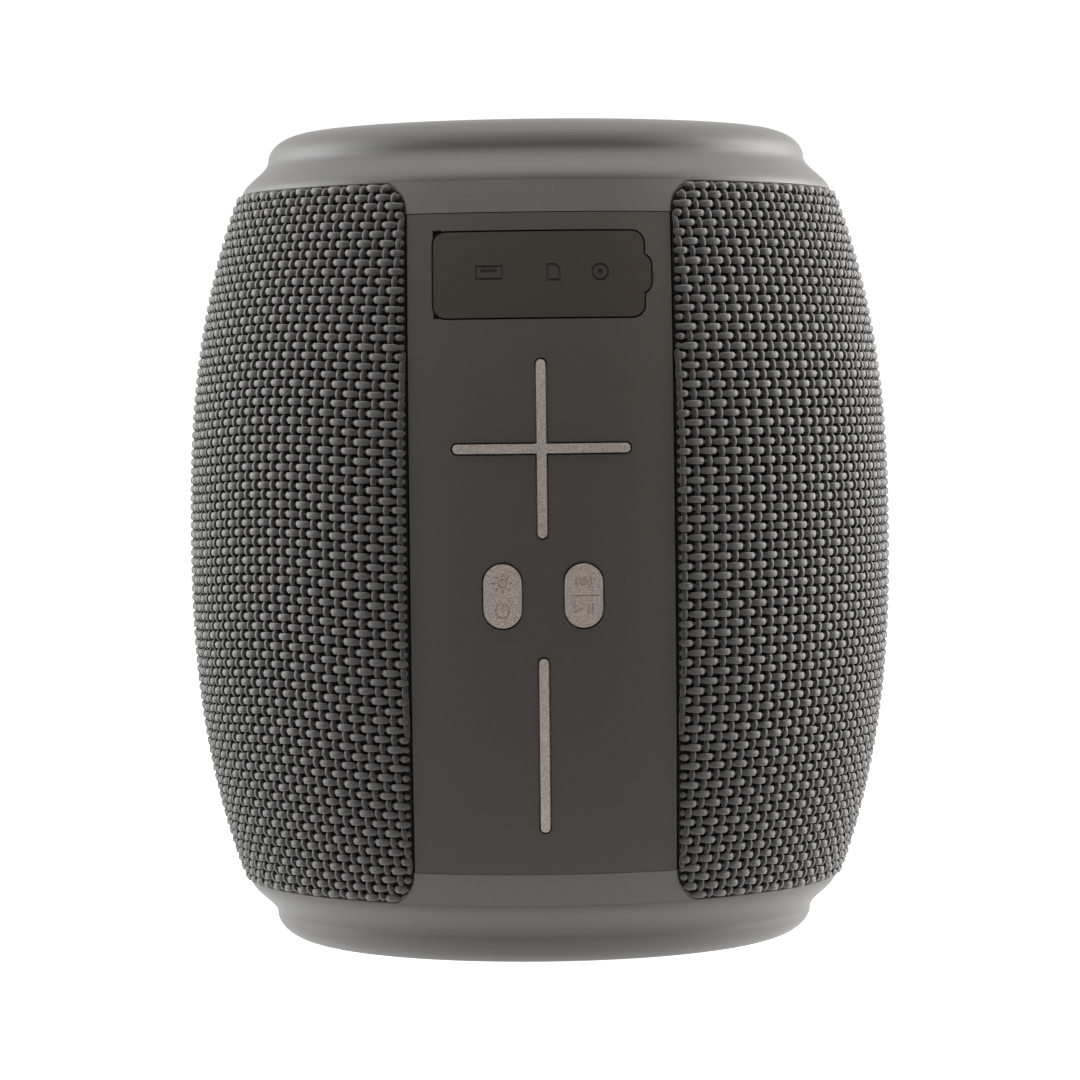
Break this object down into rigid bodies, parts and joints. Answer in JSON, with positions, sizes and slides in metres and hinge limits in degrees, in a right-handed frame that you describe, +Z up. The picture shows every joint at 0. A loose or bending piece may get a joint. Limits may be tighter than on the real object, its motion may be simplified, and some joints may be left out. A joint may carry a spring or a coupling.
{
  "type": "portable bluetooth speaker",
  "caption": "Barrel-shaped portable speaker in woven cloth with soft-touch end caps, a front control strip with sprung keys, a hinged port flap and passive radiators in its ends.",
  "frame": {"origin": "centre of the ring it stands on, on the barrel's axis", "axes": "+Z up along the barrel's axis, -Y out of the control strip, +X to the right seen from the strip's side"},
  "size_m": [0.128, 0.1276, 0.1472],
  "materials": {
    "soft_touch": "matte soft-touch coating",
    "strip_soft_touch": "matte soft-touch coating",
    "woven_cloth": "coarse plain weave",
    "black_plastic": "moulded",
    "key_satin": "satin champagne paint",
    "silicone": "matte silicone",
    "clear_silicone": "matte",
    "green_board": "solder mask",
    "white_board": "white solder mask",
    "plated_steel": "bright plated",
    "black_steel": "black oxide",
    "tin_plate": "tin plated sheet",
    "aluminium_fins": "extruded",
    "sleeve_blue": "shrink sleeve",
    "sleeve_dark": "shrink sleeve",
    "ferrite": "ferrite",
    "white_plastic": "moulded",
    "ribbon_plastic": "polyester film",
    "foam": "closed-cell foam",
    "red_wire": "insulated wire",
    "black_wire": "insulated wire",
    "paper_cone": "coated paper",
    "copper_coil": "enamelled copper",
    "magnet_steel": "ferrite and steel",
    "surround_rubber": "butyl rubber",
    "disc_plastic": "spun finish",
    "steel_weight": "zinc plated",
    "frosted": "frosted translucent",
    "led_yellow": "lens"
  },
  "bodies": {
    "housing": {"top_cap": "soft_touch", "bottom_cap": "soft_touch", "control_panel": "strip_soft_touch", "grille_frame": "black_plastic", "fabric_cover": "woven_cloth", "key_membrane": "clear_silicone", "key_board": "green_board", "tact_switches": "tin_plate", "key_board_screws": "plated_steel", "key_ribbon": "ribbon_plastic", "flap_anchor": "silicone", "port_board": "green_board", "usb_socket": "tin_plate", "usb_tongue": "white_plastic", "card_socket": "tin_plate", "dc_socket": "black_plastic", "port_board_screws": "plated_steel", "main_board": "green_board", "main_board_screws": "plated_steel", "radio_shield": "tin_plate", "heat_sink": "aluminium_fins", "capacitors": "sleeve_dark", "inductors": "ferrite", "core_body": "black_plastic", "core_gasket": "foam", "baffle": "black_plastic", "baffle_screws": "black_steel", "cap_screws": "plated_steel", "panel_screws": "plated_steel", "battery_cells": "sleeve_blue", "battery_holder": "black_plastic", "battery_leads": "red_wire", "driver_leads": "black_wire", "driver_baskets": "black_steel", "driver_magnets": "magnet_steel", "driver_screws": "black_steel", "upper_surround": "surround_rubber", "lower_surround": "surround_rubber", "radiator_frames": "black_plastic", "top_radiator_surround": "surround_rubber", "bottom_radiator_surround": "surround_rubber", "light_rings": "frosted", "led_boards": "white_board", "leds": "led_yellow"},
    "plus_key_body": {"plus_key": "key_satin"},
    "minus_key_body": {"minus_key": "key_satin"},
    "light_key_body": {"light_key": "key_satin"},
    "play_key_body": {"play_key": "key_satin"},
    "flap_body": {"port_flap": "silicone"},
    "upper_cone_body": {"upper_cone": "paper_cone", "upper_dust_cap": "paper_cone", "upper_voice_coil": "copper_coil"},
    "lower_cone_body": {"lower_cone": "paper_cone", "lower_dust_cap": "paper_cone", "lower_voice_coil": "copper_coil"},
    "top_radiator_body": {"top_radiator_disc": "disc_plastic", "top_radiator_weight": "steel_weight"},
    "bottom_radiator_body": {"bottom_radiator_disc": "disc_plastic", "bottom_radiator_weight": "steel_weight"}
  },
  "joints": [
    {"name": "plus_key_press", "type": "slide", "parent": "housing", "child": "plus_key_body", "axis": [0, 1, 0], "range_m": [0, 0.0005], "stiffness_N_per_m": 1500, "springref_m": -0.0003, "deforming": ["key_membrane"]},
    {"name": "minus_key_press", "type": "slide", "parent": "housing", "child": "minus_key_body", "axis": [0, 1, 0], "range_m": [0, 0.0005], "stiffness_N_per_m": 1500, "springref_m": -0.0003, "deforming": ["key_membrane"]},
    {"name": "light_key_press", "type": "slide", "parent": "housing", "child": "light_key_body", "axis": [0, 1, 0], "range_m": [0, 0.0005], "stiffness_N_per_m": 1500, "springref_m": -0.0003, "deforming": ["key_membrane"]},
    {"name": "play_key_press", "type": "slide", "parent": "housing", "child": "play_key_body", "axis": [0, 1, 0], "range_m": [0, 0.0005], "stiffness_N_per_m": 1500, "springref_m": -0.0003, "deforming": ["key_membrane"]},
    {"name": "port_flap_hinge", "type": "hinge", "parent": "housing", "child": "flap_body", "pos_m": [-0.0172, -0.05685, 0.1123], "axis": [0, -0.2427, -0.9701], "range_deg": [0, 90], "stiffness_Nm_per_rad": 0.0005},
    {"name": "upper_cone_stroke", "type": "slide", "parent": "housing", "child": "upper_cone_body", "axis": [0, 1, 0], "range_m": [-0.0012, 0.0012], "stiffness_N_per_m": 1500, "deforming": ["upper_surround"]},
    {"name": "lower_cone_stroke", "type": "slide", "parent": "housing", "child": "lower_cone_body", "axis": [0, 1, 0], "range_m": [-0.0012, 0.0012], "stiffness_N_per_m": 1500, "deforming": ["lower_surround"]},
    {"name": "top_radiator_stroke", "type": "slide", "parent": "housing", "child": "top_radiator_body", "axis": [0, 0, 1], "range_m": [-0.002, 0.002], "stiffness_N_per_m": 1800, "deforming": ["top_radiator_surround"]},
    {"name": "bottom_radiator_stroke", "type": "slide", "parent": "housing", "child": "bottom_radiator_body", "axis": [0, 0, -1], "range_m": [-0.002, 0.002], "stiffness_N_per_m": 1800, "deforming": ["bottom_radiator_surround"]}
  ]
}
